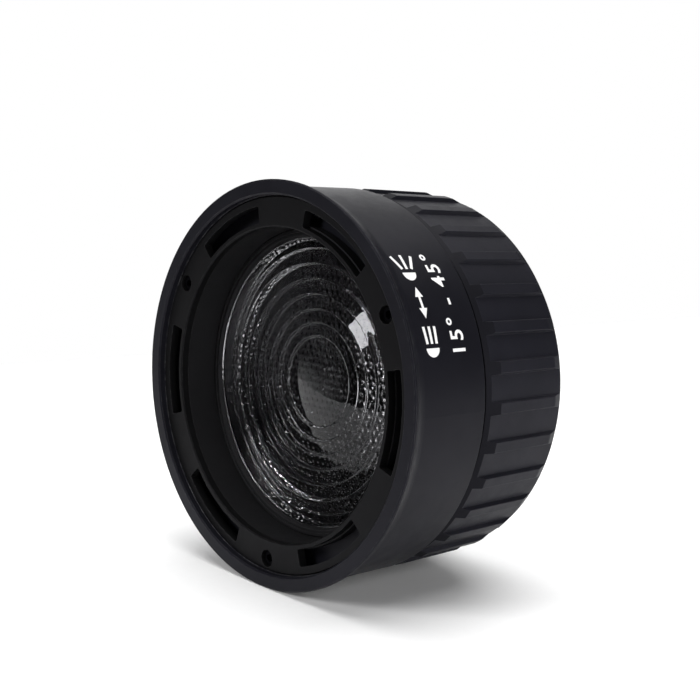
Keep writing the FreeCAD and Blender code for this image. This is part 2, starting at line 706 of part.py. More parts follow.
def helical_cutter():
    """Cutter for one cam slot, for the follower at angle zero, rounded at both ends."""
    spot, flood = zoom_depths()
    inner = GUIDE_OUTER - OVERCUT
    outer = CAM_OUTER + OVERCUT
    lead = 360 * TRAVEL_PER_DEGREE
    pitch_angle = math.atan(lead / (math.pi * (inner + outer)))
    half_height = SLOT_HALF_WIDTH / math.cos(pitch_angle)
    path = Part.makeHelix(lead, flood - spot, inner)
    corners = [
        Vector(inner, 0, -half_height),
        Vector(outer, 0, -half_height),
        Vector(outer, 0, half_height),
        Vector(inner, 0, half_height),
    ]
    section = Part.makePolygon(corners + [corners[0]])
    sweep = Part.BRepOffsetAPI.MakePipeShell(Part.Wire(path.Edges))
    sweep.setFrenetMode(True)
    sweep.add(section)
    sweep.build()
    sweep.makeSolid()
    slot = sweep.shape()
    slot.rotate(AXIS_POINT, SIDEWAYS, -90)
    slot.translate(Vector(0, spot - SEAT_DEPTH, 0))
    slot = spun(slot, TURN_TO_SPOT)
    spot_end = spun(radial_rod(spot, inner, outer, SLOT_END_RADIUS), TURN_TO_SPOT)
    flood_end = spun(radial_rod(flood, inner, outer, SLOT_END_RADIUS), -TURN_TO_FLOOD)
    return [slot, spot_end, flood_end]


def cam_sleeve():
    """Sleeve on the guide tube whose helical slots push the followers along."""
    sleeve = ring(CAM_START, CAM_END, GUIDE_OUTER + RUNNING_FIT, CAM_OUTER)
    for cutter in helical_cutter():
        sleeve = sleeve.cut(repeated(cutter, FOLLOWER_ANGLES))
    return sleeve.cut(repeated(drive_screw_shape(SCREW_FIT), drive_angles()))


def stop_pin():
    """Dowel in the rear flange of the ring core."""
    return spun(axial_rod(STOP_PIN_START, STOP_PIN_END, STOP_PIN_RADIUS, STOP_CIRCLE), STOP_ANGLE)


# ---- Lens carriage body ----
def lens_cell():
    """Sliding tube that carries the lens in front and the followers behind."""
    cell_end = CELL_FRONT + CELL_LENGTH
    seat = LENS_BACK + GASKET_THICKNESS
    tube = turned([
        (CELL_FRONT, CELL_POCKET),
        (CELL_FRONT, CELL_OUTER - EDGE_CHAMFER),
        (CELL_FRONT + EDGE_CHAMFER, CELL_OUTER),
        (cell_end - EDGE_CHAMFER, CELL_OUTER),
        (cell_end, CELL_OUTER - EDGE_CHAMFER),
        (cell_end, CELL_BORE),
        (seat + CELL_SHOULDER, CELL_BORE),
        (seat + CELL_SHOULDER, CELL_SHOULDER_INNER),
        (seat, CELL_SHOULDER_INNER),
        (seat, CELL_POCKET),
    ])
    thread = radial_rod(FOLLOWER_DEPTH, CELL_BORE - OVERCUT, CELL_OUTER + OVERCUT, M3_RADIUS + SCREW_FIT)
    return tube.cut(repeated(thread, FOLLOWER_ANGLES))


def ring_crest(inner, outer):
    """Depth of a lens ring's crest, from the slope that the full lens would have there."""
    middle = (inner + outer) / 2
    slope = middle / math.sqrt(LENS_CURVATURE ** 2 - middle ** 2)
    return LENS_VALLEY - slope * (outer - inner - RISER_DRAFT)


def fresnel_lens():
    """Lens with a domed centre, stepped rings in front and a flat back."""
    dome_edge = LENS_RINGS[0]
    sag = LENS_CURVATURE - math.sqrt(LENS_CURVATURE ** 2 - dome_edge ** 2)
    half_angle = math.asin(dome_edge / LENS_CURVATURE) / 2
    dome_top = LENS_VALLEY - sag
    dome_rise = LENS_CURVATURE * (1 - math.cos(half_angle))
    dome_middle = (dome_top + dome_rise, LENS_CURVATURE * math.sin(half_angle))
    corners = [(dome_top, 0), (dome_middle, (LENS_VALLEY, dome_edge))]
    for inner, outer in zip(LENS_RINGS, LENS_RINGS[1:]):
        corners.append((ring_crest(inner, outer), inner + RISER_DRAFT))
        corners.append((LENS_VALLEY, outer))
    corners.append((LENS_RIM_DEPTH, LENS_RIM_INNER + RISER_DRAFT))
    corners.append((LENS_RIM_DEPTH, LENS_RADIUS))
    corners.append((LENS_BACK, LENS_RADIUS))
    corners.append((LENS_BACK, 0))
    return turned(corners)


def lens_gasket():
    """Soft ring between the back of the lens and the cell's shoulder."""
    return ring(LENS_BACK, LENS_BACK + GASKET_THICKNESS, CELL_SHOULDER_INNER, LENS_RADIUS)


def lens_retainer():
    """Threaded ring in front of the lens rim, with two spanner notches."""
    body = turned([
        (RETAINER_FRONT, RETAINER_INNER + RETAINER_BEVEL),
        (RETAINER_FRONT, CELL_POCKET - PRESS_GAP),
        (LENS_RIM_DEPTH, CELL_POCKET - PRESS_GAP),
        (LENS_RIM_DEPTH, RETAINER_INNER),
    ])
    corner = place(RETAINER_FRONT - OVERCUT, RETAINER_INNER - OVERCUT) - Vector(0, 0, RETAINER_NOTCH / 2)
    reach = OVERCUT + RETAINER_NOTCH_REACH
    notch = Part.makeBox(reach, OVERCUT + RETAINER_NOTCH_DEPTH, RETAINER_NOTCH, corner)
    return body.cut(repeated(notch, (0.0, 180.0)))


def follower_bushes():
    """Plain bushes that fill the width of the straight and the helical slots."""
    bush = radial_rod(FOLLOWER_DEPTH, BUSH_INNER, BUSH_OUTER, BUSH_RADIUS)
    hole = radial_rod(FOLLOWER_DEPTH, BUSH_INNER - OVERCUT, BUSH_OUTER + OVERCUT, M3_RADIUS + PRESS_GAP)
    return one_or_group(repeated(bush.cut(hole), FOLLOWER_ANGLES))


def follower_screws():
    """Screws that hold the bushes on the lens cell."""
    head = radial_rod(FOLLOWER_DEPTH, BUSH_OUTER, FOLLOWER_HEAD_TOP, FOLLOWER_HEAD_RADIUS)
    shank = radial_rod(FOLLOWER_DEPTH, FOLLOWER_SHANK_END, BUSH_OUTER + OVERLAP, M3_RADIUS)
    floor = place(FOLLOWER_DEPTH, FOLLOWER_HEAD_TOP - FOLLOWER_SOCKET_DEPTH)
    socket = hexagon(floor, SIDEWAYS, FOLLOWER_KEY, FOLLOWER_SOCKET_DEPTH + OVERCUT)
    return one_or_group(repeated(head.fuse(shank).cut(socket), FOLLOWER_ANGLES))


NODES = (
    front_barrel, front_plate, front_screws, accessory_springs, spring_rivets, guide_tube,
    glide_bands, light_seal, wave_washer, rear_housing, housing_screws, bayonet_mount,
    bayonet_screws, ring_core, grip_sleeve, cam_sleeve, drive_screws, stop_pin, lens_cell,
    fresnel_lens, lens_gasket, lens_retainer, follower_bushes, follower_screws,
)


def main():
    """Write every node as a STEP file."""
    os.makedirs("parts", exist_ok=True)
    for build in NODES:
        shape = build()
        if not shape.isValid() or not shape.Solids:
            raise ValueError(f"{build.__name__} is not a valid solid")
        shape.exportStep(f"parts/{build.__name__}.step")
        print(f"{build.__name__}: {len(shape.Solids)} solid(s), {shape.Volume / 1000:.2f} cm3")


main()
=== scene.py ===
"""Looks of the compact Fresnel lens attachment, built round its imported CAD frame.

Lengths are metres unless a name ends in MM or mm.  The optical axis is Y and light leaves
towards -Y.  Angles about it run from +X towards +Z.
"""
import json
import math

import bmesh
import bpy
import numpy as np
from mathutils import Matrix, Quaternion, Vector


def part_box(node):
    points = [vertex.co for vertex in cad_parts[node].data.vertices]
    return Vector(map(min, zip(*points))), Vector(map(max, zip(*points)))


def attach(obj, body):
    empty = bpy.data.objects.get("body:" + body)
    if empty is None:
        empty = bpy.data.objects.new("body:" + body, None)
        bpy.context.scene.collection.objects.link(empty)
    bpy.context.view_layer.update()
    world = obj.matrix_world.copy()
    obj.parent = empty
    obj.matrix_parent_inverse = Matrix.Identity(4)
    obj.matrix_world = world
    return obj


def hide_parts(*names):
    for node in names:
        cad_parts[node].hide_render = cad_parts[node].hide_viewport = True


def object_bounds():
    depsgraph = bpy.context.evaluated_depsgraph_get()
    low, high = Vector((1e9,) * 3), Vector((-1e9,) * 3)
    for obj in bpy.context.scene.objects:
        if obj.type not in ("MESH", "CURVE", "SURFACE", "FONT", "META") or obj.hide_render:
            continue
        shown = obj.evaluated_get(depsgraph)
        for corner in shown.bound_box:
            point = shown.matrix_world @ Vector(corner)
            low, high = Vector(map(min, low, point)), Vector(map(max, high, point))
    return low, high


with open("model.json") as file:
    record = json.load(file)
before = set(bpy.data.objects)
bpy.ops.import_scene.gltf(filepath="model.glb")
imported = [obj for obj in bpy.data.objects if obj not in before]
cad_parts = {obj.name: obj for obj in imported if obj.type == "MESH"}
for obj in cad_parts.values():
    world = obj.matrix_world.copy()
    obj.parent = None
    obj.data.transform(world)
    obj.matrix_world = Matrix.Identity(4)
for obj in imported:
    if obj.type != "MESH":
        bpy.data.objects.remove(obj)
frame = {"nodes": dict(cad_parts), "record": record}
cad_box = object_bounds()

MM = 0.001
TINY = 0.001 * MM
DECIMALS = 7
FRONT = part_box("front_barrel")[0].y
LOWEST = cad_box[0].z
LENS_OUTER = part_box("fresnel_lens")[1].x
LENS_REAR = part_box("fresnel_lens")[1].y
BARREL_RADIUS = 64.1 * MM
WHITE = (1.0, 1.0, 1.0, 1.0)


# ---- Node helpers ----
NOISE_SPAN = (0.3, 0.7)
FULL_SPAN = (0.0, 1.0)


class Nodes:
    """Small wrapper that adds nodes to a tree and links them."""

    def __init__(self, tree):
        self.tree = tree

    def add(self, kind, **settings):
        node = self.tree.nodes.new(kind)
        for key, value in settings.items():
            setattr(node, key, value)
        return node

    def link(self, source, target):
        self.tree.links.new(source, target)

    def feed(self, target, value):
        """Puts a number, a colour or another node's output into an input."""
        if isinstance(value, bpy.types.NodeSocket):
            self.link(value, target)
        else:
            target.default_value = value

    def place_mm(self):
        """Position in the part's own frame, in millimetres."""
        coordinates = self.add("ShaderNodeTexCoord")
        scale = self.add("ShaderNodeVectorMath", operation="SCALE")
        self.link(coordinates.outputs["Object"], scale.inputs[0])
        scale.inputs["Scale"].default_value = 1 / MM
        return scale.outputs[0]

    def parts(self, vector):
        """X, Y and Z of a vector."""
        node = self.add("ShaderNodeSeparateXYZ")
        self.link(vector, node.inputs[0])
        return node.outputs[0], node.outputs[1], node.outputs[2]

    def math(self, operation, first, second=0.0, clamp=False):
        node = self.add("ShaderNodeMath", operation=operation, use_clamp=clamp)
        self.feed(node.inputs[0], first)
        self.feed(node.inputs[1], second)
        return node.outputs[0]

    def noise(self, place, size_mm, detail=2.0, roughness=0.5):
        node = self.add("ShaderNodeTexNoise")
        self.link(place, node.inputs["Vector"])
        node.inputs["Scale"].default_value = 1 / size_mm
        node.inputs["Detail"].default_value = detail
        node.inputs["Roughness"].default_value = roughness
        return node.outputs[0]

    def spread(self, value, low, high, span=NOISE_SPAN):
        """Maps the part of a value that lies in a span to low and high."""
        node = self.add("ShaderNodeMapRange")
        self.feed(node.inputs["Value"], value)
        node.inputs["From Min"].default_value = span[0]
        node.inputs["From Max"].default_value = span[1]
        self.feed(node.inputs["To Min"], low)
        self.feed(node.inputs["To Max"], high)
        return node.outputs[0]

    def mix(self, factor, first, second):
        """Colour between two; the node's colour inputs are 6 and 7 and its colour output is 2."""
        node = self.add("ShaderNodeMix", data_type="RGBA")
        self.feed(node.inputs[0], factor)
        self.feed(node.inputs[6], first)
        self.feed(node.inputs[7], second)
        return node.outputs[2]

    def bump(self, height, depth_mm, under=None):
        node = self.add("ShaderNodeBump")
        node.inputs["Strength"].default_value = 1.0
        node.inputs["Distance"].default_value = depth_mm * MM
        self.link(height, node.inputs["Height"])
        if under is not None:
            self.link(under, node.inputs["Normal"])
        return node.outputs[0]


class Finish(Nodes):
    """Material with one Principled surface."""

    def __init__(self, name):
        self.material = bpy.data.materials.new(name)
        self.material.use_nodes = True
        super().__init__(self.material.node_tree)
        self.tree.nodes.clear()
        output = self.add("ShaderNodeOutputMaterial")
        self.shader = self.add("ShaderNodeBsdfPrincipled")
        self.link(self.shader.outputs[0], output.inputs["Surface"])

    def set(self, **inputs):
        """Principled inputs, with underscores for the spaces in their names."""
        for key, value in inputs.items():
            self.feed(self.shader.inputs[key.replace("_", " ")], value)


def grey(level, tint=0.0):
    """Neutral colour, a positive tint making it cooler."""
    return (level, level, level * (1 + tint), 1.0)


# ---- Materials ----
EDGE_WIDTH_MM = 0.22
EDGE_SAMPLES = 6
EDGE_COSINES = (0.86, 0.99)
EDGE_PATCH_MM = 2.5
EDGE_PATCH_SPAN = (0.42, 0.62)
DRIFT_MM = 22.0
SMEAR_MM = 6.0
DUST_MM = 0.35
DUST_SPAN = (0.72, 0.8)
DUST_COVER = 0.012
DUST_LEVEL = 0.6
GRAIN_GLOSS = 0.03
FRONT_LEAN = (-0.32, -0.2)
COOL_SHEEN = (0.91, 0.885, 1.0, 1.0)


def grained(n, place, level, tint, contrast, grain_mm):
    """Colour with slow drift, and the fine grain that drives the bump."""
    drift = n.noise(place, DRIFT_MM, detail=3.0)
    fine = n.noise(place, grain_mm, detail=3.0, roughness=0.6)
    low = grey(level * (1 - contrast), tint)
    high = grey(level * (1 + contrast), tint)
    return n.mix(n.spread(drift, 0.0, 1.0), low, high), fine


def soft_normal(n):
    """Normal that rounds off the sharp edges."""
    soft = n.add("ShaderNodeBevel", samples=EDGE_SAMPLES)
    soft.inputs["Radius"].default_value = EDGE_WIDTH_MM * MM
    return soft.outputs[0]


def worn_edges(n, place, soft):
    """Broken mask of the edges, where the softened normal turns away from the flat one."""
    flat = n.add("ShaderNodeNewGeometry").outputs["Normal"]
    compare = n.add("ShaderNodeVectorMath", operation="DOT_PRODUCT")
    n.link(soft, compare.inputs[0])
    n.link(flat, compare.inputs[1])
    turned_away = n.spread(compare.outputs["Value"], 1.0, 0.0, EDGE_COSINES)
    broken = n.noise(place, EDGE_PATCH_MM, detail=4.0, roughness=0.7)
    patch = n.spread(broken, 0.0, 1.0, EDGE_PATCH_SPAN)
    return n.math("MULTIPLY", turned_away, patch, clamp=True)


def front_shade_mask(n):
    """Mask of the surfaces that lean towards the front of the part, where shade is painted."""
    flat = n.add("ShaderNodeNewGeometry").outputs["Normal"]
    return n.spread(n.parts(flat)[1], 1.0, 0.0, FRONT_LEAN)


def worn_finish(name, level, roughness, grain_mm, depth_mm, tint=0.38, contrast=0.16, specular=0.2,
                wear=0.5, worn_level=0.16, worn_metal=0.6, grease=0.05, front_painted_shade=0.0):
    """Dark finish with fine grain, uneven gloss, faint handling marks and worn edges, and painted shade on
    faces that lean to the front.
    """
    n = Finish(name)
    place = n.place_mm()
    colour, fine = grained(n, place, level, tint, contrast, grain_mm)
    # Painted shade: faces leaning to the front are darkened towards black and lose part of their sheen.
    if front_painted_shade:
        front_shade_amount = n.math("MULTIPLY", front_shade_mask(n), front_painted_shade)
        colour = n.mix(front_shade_amount, colour, grey(0.0))
        specular = n.math("MULTIPLY", n.math("SUBTRACT", 1.0, front_shade_amount), specular)
    soft = soft_normal(n)
    bare = n.math("MULTIPLY", worn_edges(n, place, soft), wear)
    smear = n.noise(place, SMEAR_MM, detail=5.0, roughness=0.65)
    dust = n.spread(n.noise(place, DUST_MM), 0.0, DUST_COVER, DUST_SPAN)
    dusty = n.mix(dust, colour, grey(DUST_LEVEL))
    n.set(Base_Color=n.mix(bare, dusty, grey(worn_level)), Metallic=n.math("MULTIPLY", bare, worn_metal))
    uneven = n.math("ADD", n.spread(smear, -grease, grease), n.spread(fine, -GRAIN_GLOSS, GRAIN_GLOSS))
    n.set(Roughness=n.math("ADD", uneven, roughness, clamp=True))
    n.set(Specular_IOR_Level=specular, Specular_Tint=COOL_SHEEN)
    n.set(Normal=n.bump(fine, depth_mm, under=soft))
    return n.material


def turned_metal(name, level, roughness, groove_mm, depth_mm, smear_mm=7.0, darkest=0.86, lightest=1.08,
                 groove_gloss=(-0.05, 0.05), smear_gloss=(-0.04, 0.07)):
    """Lathe-turned metal: fine concentric grooves that follow radius and depth."""
    n = Finish(name)
    place = n.place_mm()
    across, along, upward = n.parts(place)
    radius = n.math("SQRT", n.math("ADD", n.math("POWER", across, 2.0), n.math("POWER", upward, 2.0)))
    join = n.add("ShaderNodeCombineXYZ")
    n.link(radius, join.inputs[0])
    n.link(along, join.inputs[1])
    groove = n.noise(join.outputs[0], groove_mm)
    smear = n.noise(place, smear_mm, detail=4.0, roughness=0.6)
    colour = n.mix(n.spread(smear, 0.0, 1.0), grey(level * darkest), grey(level * lightest))
    n.set(Base_Color=colour, Metallic=1.0)
    uneven = n.math("ADD", n.spread(groove, *groove_gloss), n.spread(smear, *smear_gloss))
    n.set(Roughness=n.math("ADD", uneven, roughness, clamp=True))
    n.set(Normal=n.bump(groove, depth_mm, under=soft_normal(n)))
    return n.material


def clear_glass(colour, sheen, ior=1.49, flow_mm=9.0, gloss=(0.01, 0.05), depth_mm=0.05):
    """Pressed lens glass: clear, with faint flow marks."""
    n = Finish("lens_glass_clear")
    flow = n.noise(n.place_mm(), flow_mm)
    n.set(Base_Color=colour, Transmission_Weight=1.0, IOR=ior, Specular_Tint=sheen)
    n.set(Roughness=n.spread(flow, *gloss))
    n.set(Normal=n.bump(flow, depth_mm))
    return n.material


def felt(low=0.008, high=0.035, fibre_mm=0.35, depth_mm=0.25):
    """Matted short fibres."""
    n = Finish("felt_fibres")
    fibre = n.noise(n.place_mm(), fibre_mm, detail=6.0, roughness=0.75)
    n.set(Base_Color=n.mix(fibre, grey(low), grey(high)), Roughness=0.95, Sheen_Weight=0.4)
    n.set(Normal=n.bump(fibre, depth_mm))
    return n.material


def ink(low=0.72, high=0.86, patch_mm=0.5, depth_mm=0.01):
    """Pad-printed white ink, slightly uneven in cover."""
    n = Finish("white_ink")
    cover = n.noise(n.place_mm(), patch_mm, detail=4.0, roughness=0.7)
    n.set(Base_Color=n.mix(n.spread(cover, 0.0, 1.0), grey(low), grey(high)), Roughness=0.5)
    n.set(Normal=n.bump(cover, depth_mm))
    return n.material


def plastic(name, low, high, roughness, mottle_mm=1.2, uneven=0.06, depth_mm=0.02):
    """Machined plastic with faint mottling."""
    n = Finish(name)
    mottle = n.noise(n.place_mm(), mottle_mm, detail=4.0, roughness=0.6)
    n.set(Base_Color=n.mix(mottle, low, high))
    n.set(Roughness=n.spread(mottle, roughness - uneven, roughness + uneven))
    n.set(Normal=n.bump(mottle, depth_mm))
    return n.material


FINISHES = {
    "barrel_black": worn_finish(
        "anodised_barrel", level=0.0068, roughness=0.4, grain_mm=0.14, depth_mm=0.008, specular=0.1
    ),
    # The plate is darker and less glossy than the barrel: painted shade for its forward-looking face.
    "plate_black": worn_finish(
        "anodised_plate_painted_shade", level=0.0047, roughness=0.46, grain_mm=0.16, depth_mm=0.012, tint=0.05,
        specular=0.07, wear=0.35
    ),
    "bore_black": worn_finish(
        "anodised_bore", level=0.0085, roughness=0.6, grain_mm=0.2, depth_mm=0.012, tint=0.05,
        specular=0.15, wear=0.2
    ),
    # The grip's faces that lean to the front get painted shade.
    "grip_rubber": worn_finish(
        "moulded_grip", level=0.0092, roughness=0.46, grain_mm=0.18, depth_mm=0.016,
        specular=0.12, wear=0.3, worn_level=0.05, worn_metal=0.0, front_painted_shade=0.45
    ),
    "black_screw": worn_finish(
        "black_oxide", level=0.0015, roughness=0.6, grain_mm=0.3, depth_mm=0.01, specular=0.02, wear=0.1
    ),
    "spring_steel": worn_finish(
        "blackened_spring", level=0.02, roughness=0.4, grain_mm=0.4, depth_mm=0.01,
        wear=0.8, worn_level=0.3, worn_metal=1.0
    ),
    "bayonet_steel": turned_metal(
        "turned_bayonet", level=0.56, roughness=0.26, groove_mm=0.22, depth_mm=0.01
    ),
    "plain_steel": turned_metal("ground_steel", level=0.5, roughness=0.3, groove_mm=0.15, depth_mm=0.006),
    "cam_alloy": turned_metal("turned_alloy", level=0.62, roughness=0.34, groove_mm=0.3, depth_mm=0.012),
    "acetal_white": plastic("acetal", (0.72, 0.71, 0.67, 1), (0.82, 0.81, 0.78, 1), roughness=0.4),
    "glide_brown": plastic("glide_bronze_ptfe", (0.18, 0.1, 0.05, 1), (0.3, 0.17, 0.09, 1), roughness=0.45),
    "felt_black": felt(),
    "silicone_grey": plastic("silicone", (0.1, 0.1, 0.105, 1), (0.14, 0.14, 0.145, 1), roughness=0.55),
    "lens_glass": clear_glass(colour=(0.47, 0.47, 0.49, 1), sheen=(0.5, 0.5, 0.52, 1)),
    "white_print": ink(),
}


def dress_cad_nodes():
    """Gives every carried-over CAD node the finish of its slot."""
    slots = {row["node"]: row["material_slot"] for row in frame["record"]["subparts"]}
    for name, piece in frame["nodes"].items():
        for holder in piece.material_slots:
            holder.material = FINISHES[slots[name]]


def new_piece(name, mesh, slot, body, smooth=False):
    """Turns a mesh's faces outward, dresses it and lets it ride on a body."""
    work = bmesh.new()
    work.from_mesh(mesh)
    bmesh.ops.recalc_face_normals(work, faces=work.faces)
    work.to_mesh(mesh)
    work.free()
    if smooth:
        mesh.shade_smooth()
    mesh.materials.clear()
    mesh.materials.append(FINISHES[slot])
    piece = bpy.data.objects.new(name, mesh)
    bpy.context.scene.collection.objects.link(piece)
    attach(piece, body)
    return piece


# ---- Lens: stepped front, pebbled back ----
LENS_SEGMENTS = 232
DOME_STEPS = 14
FACET_STEPS = 3
CREST_ROUNDING = 0.32 * MM
CREST_SHARE = 0.4
CREST_STEPS = (0.0, 0.33, 0.67, 1.0)
LENS_CREASE = math.radians(50)
PEBBLE_PITCH = 2.4 * MM
PEBBLE_DEPTH = 0.38 * MM
PEBBLE_JITTER = 0.12
PEBBLE_REACH = 0.62
PEBBLE_CUT = 1.3
PEBBLE_SEED = 7
PEBBLE_TABLE_SPAN = 2.4
PEBBLE_TABLE_SPARE = 8
PLAIN_RIM = 0.8 * MM
RIM_BEVEL = 0.3 * MM


def lens_corners():
    """(radius, y) corners of the stepped front, centre first, read from the CAD lens."""
    rows = set()
    for vertex in frame["nodes"]["fresnel_lens"].data.vertices:
        x, y, z = vertex.co
        if abs(z) < TINY and x > -TINY and y < LENS_REAR - MM:
            rows.add((round(abs(x), DECIMALS), round(y, DECIMALS)))
    rows = sorted(rows)
    lowest = max(y for radius, y in rows)
    edge = next(i for i, (radius, y) in enumerate(rows) if y > lowest - TINY)
    return rows[0], rows[edge:]


def dome_points(top, edge):
    """Arc from the centre of the lens to the edge of its domed middle."""
    sag = edge[1] - top[1]
    curvature = (edge[0] ** 2 + sag ** 2) / (2 * sag)
    radii = np.linspace(0.0, edge[0], DOME_STEPS + 1)[:-1]
    return [(r, top[1] + curvature - math.sqrt(curvature ** 2 - r ** 2)) for r in radii]


def rounded(points):
    """Polyline with its inner corners rounded and its straight runs divided."""
    path = [np.array(point) for point in points]
    result = [path[0]]
    for before, corner, after in zip(path, path[1:], path[2:]):
        back = (before - corner) * min(CREST_SHARE, CREST_ROUNDING / np.linalg.norm(before - corner))
        ahead = (after - corner) * min(CREST_SHARE, CREST_ROUNDING / np.linalg.norm(after - corner))
        start = result[-1]
        for step in range(1, FACET_STEPS):
            result.append(start + (corner + back - start) * step / FACET_STEPS)
        for t in CREST_STEPS:
            result.append(corner + back * (1 - t) ** 2 + ahead * t ** 2)
    result.append(path[-1])
    return result


def pebble_depth(x, z):
    """How far the back lies below its crests: packed round bumps on a jittered hexagonal grid."""
    row_height = PEBBLE_PITCH * math.sqrt(3) / 2
    # Jitters are drawn for more rows and columns than the lens has, so its rim has neighbours too.
    count = int(PEBBLE_TABLE_SPAN * LENS_OUTER / row_height) + PEBBLE_TABLE_SPARE
    jitter = np.random.RandomState(PEBBLE_SEED).uniform(-PEBBLE_JITTER, PEBBLE_JITTER, (count, count, 2))
    middle = count // 2
    row = np.round(z / row_height).astype(int)
    nearest = np.full(x.shape, np.inf)
    for row_step in (-1, 0, 1):
        r = row + row_step
        shift = 0.5 * (r % 2)
        column = np.round(x / PEBBLE_PITCH - shift).astype(int)
        for column_step in (-1, 0, 1):
            c = column + column_step
            move = jitter[r + middle, c + middle]
            centre_x = (c + shift + move[..., 0]) * PEBBLE_PITCH
            centre_z = r * row_height + move[..., 1] * PEBBLE_PITCH
            nearest = np.minimum(nearest, (x - centre_x) ** 2 + (z - centre_z) ** 2)
    reach = (PEBBLE_REACH * PEBBLE_PITCH) ** 2
    return PEBBLE_DEPTH * np.minimum(nearest / reach, PEBBLE_CUT) / PEBBLE_CUT


def disc_grid(cells, radius):
    """Square grid of points pressed into a disc, so that its cells stay even."""
    steps = np.linspace(-1.0, 1.0, cells + 1)
    a, b = np.meshgrid(steps, steps, indexing="ij")
    wide = np.abs(a) > np.abs(b)
    safe_a = np.where(a == 0, 1.0, a)
    safe_b = np.where(b == 0, 1.0, b)
    length = np.where(wide, a, b) * radius
    angle = np.where(wide, math.pi / 4 * b / safe_a, math.pi / 2 - math.pi / 4 * a / safe_b)
    angle = np.where((a == 0) & (b == 0), 0.0, angle)
    return length * np.cos(angle), length * np.sin(angle)


def lens_back(first):
    """Vertices, faces and rim loop of the pebbled back; the rim loop starts at angle 0."""
    n = LENS_SEGMENTS
    x, z = disc_grid(n, LENS_OUTER)
    towards_middle = np.clip((LENS_OUTER - np.hypot(x, z)) / PLAIN_RIM, 0.0, 1.0)
    y = LENS_REAR - pebble_depth(x, z) * towards_middle
    verts = np.stack([x, y, z], axis=-1).reshape(-1, 3)
    index = first + np.arange((n + 1) ** 2).reshape(n + 1, n + 1)
    quads = np.stack([index[:-1, :-1], index[:-1, 1:], index[1:, 1:], index[1:, :-1]], axis=-1)
    edge = np.concatenate([index[-1, :-1], index[:0:-1, -1], index[0, :0:-1], index[:-1, 0]])
    return verts.tolist(), quads.reshape(-1, 4).tolist(), np.roll(edge, -(n // 2)).tolist()


def make_lens():
    """One closed solid: stepped front with rounded crests, plain rim and pebbled back."""
    top, steps = lens_corners()
    dome = dome_points(top, steps[0])
    front = dome[1:] + rounded([dome[-1]] + steps + [(LENS_OUTER, LENS_REAR - RIM_BEVEL)])[1:]
    n = LENS_SEGMENTS
    turn = np.arange(n) * 2 * math.pi / n
    verts = [(0.0, top[1], 0.0)]
    for radius, y in front:
        verts.extend(zip(radius * np.cos(turn), [y] * n, radius * np.sin(turn)))
    faces = [(0, 1 + i, 1 + (i + 1) % n) for i in range(n)]
    for k in range(len(front) - 1):
        a = 1 + k * n
        faces.extend((a + i, a + n + i, a + n + (i + 1) % n, a + (i + 1) % n) for i in range(n))
    last = 1 + (len(front) - 1) * n
    back_verts, back_faces, rim = lens_back(len(verts))
    verts.extend(back_verts)
    faces.extend(back_faces)
    for i in range(n):
        under = [rim[(4 * i + k) % (4 * n)] for k in range(5)]
        faces.append([last + i] + under + [last + (i + 1) % n])
    mesh = bpy.data.meshes.new("stepped_lens")
    mesh.from_pydata([tuple(v) for v in verts], [], faces)
    lens = new_piece("stepped_lens", mesh, "lens_glass", "lens_carriage", smooth=True)
    mesh.set_sharp_from_angle(angle=LENS_CREASE)
    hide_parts("fresnel_lens")


# ---- Printed marks on the barrel: beam pictograms and the range in degrees ----
INK_UNDER = 0.06 * MM
INK_PROUD = 0.03 * MM
WRAP_STEP = 0.8 * MM
MARK_ANGLE = math.radians(30.5)
PICTOGRAM_DEPTH = 11.0 * MM
NUMERAL_DEPTH = 22.3 * MM
NUMERALS = "15\u00b0 - 45\u00b0"
NUMERAL_SIZE = 7.6 * MM
NUMERAL_SPACING = 1.2
NUMERAL_BOLD = 0.12 * MM
NUMERAL_CURVE_STEPS = 5
# The pictograms' own drawing is in millimetres.
LAMP_RADIUS = 2.7
LAMP_STEPS = 14
LAMP_BACK = 2.0
RAY_WIDTH = 1.0
RAY_START = 1.3
RAY_LENGTH = 5.2
RAY_GAP = 1.9
NARROW_SPREAD = math.radians(4)
WIDE_SPREAD = math.radians(26)
ARROW_LENGTH = 10.0
ARROW_SHAFT = 0.9
ARROW_HEAD = 3.2
PICTOGRAM_SHIFT = 12.0


def bar(start, direction, length, width):
    """Corners of a straight stroke."""
    start = np.array(start)
    along = np.array([math.cos(direction), math.sin(direction)])
    side = np.array([-along[1], along[0]]) * width / 2
    end = start + along * length
    return [start - side, end - side, end + side, start + side]


def beam_outlines(centre, spread):
    """Lamp seen from the side with three rays that open by an angle each side."""
    half_turn = np.linspace(math.pi / 2, 3 * math.pi / 2, LAMP_STEPS)
    lamp = [(centre + LAMP_RADIUS * math.cos(a), LAMP_RADIUS * math.sin(a)) for a in half_turn]
    rays = [
        bar((centre + RAY_START, side * RAY_GAP), side * spread, RAY_LENGTH, RAY_WIDTH) for side in (-1, 0, 1)
    ]
    return [lamp] + rays


def arrow_outline():
    """Arrow with a head at each end."""
    tip, neck = ARROW_LENGTH / 2, ARROW_LENGTH / 2 - ARROW_HEAD
    thin, wide = ARROW_SHAFT / 2, ARROW_HEAD / 2
    upper = [(tip, 0), (neck, wide), (neck, thin), (-neck, thin), (-neck, wide)]
    return upper + [(-x, -y) for x, y in upper]


def pictogram_solid(outlines):
    """Flat outlines in millimetres as a solid of any height."""
    work = bmesh.new()
    for outline in outlines:
        work.faces.new([work.verts.new((x * MM, y * MM, 0)) for x, y in outline])
    made = bmesh.ops.extrude_face_region(work, geom=work.faces[:])
    moved = [item for item in made["geom"] if isinstance(item, bmesh.types.BMVert)]
    bmesh.ops.translate(work, verts=moved, vec=(0, 0, 1))
    return work


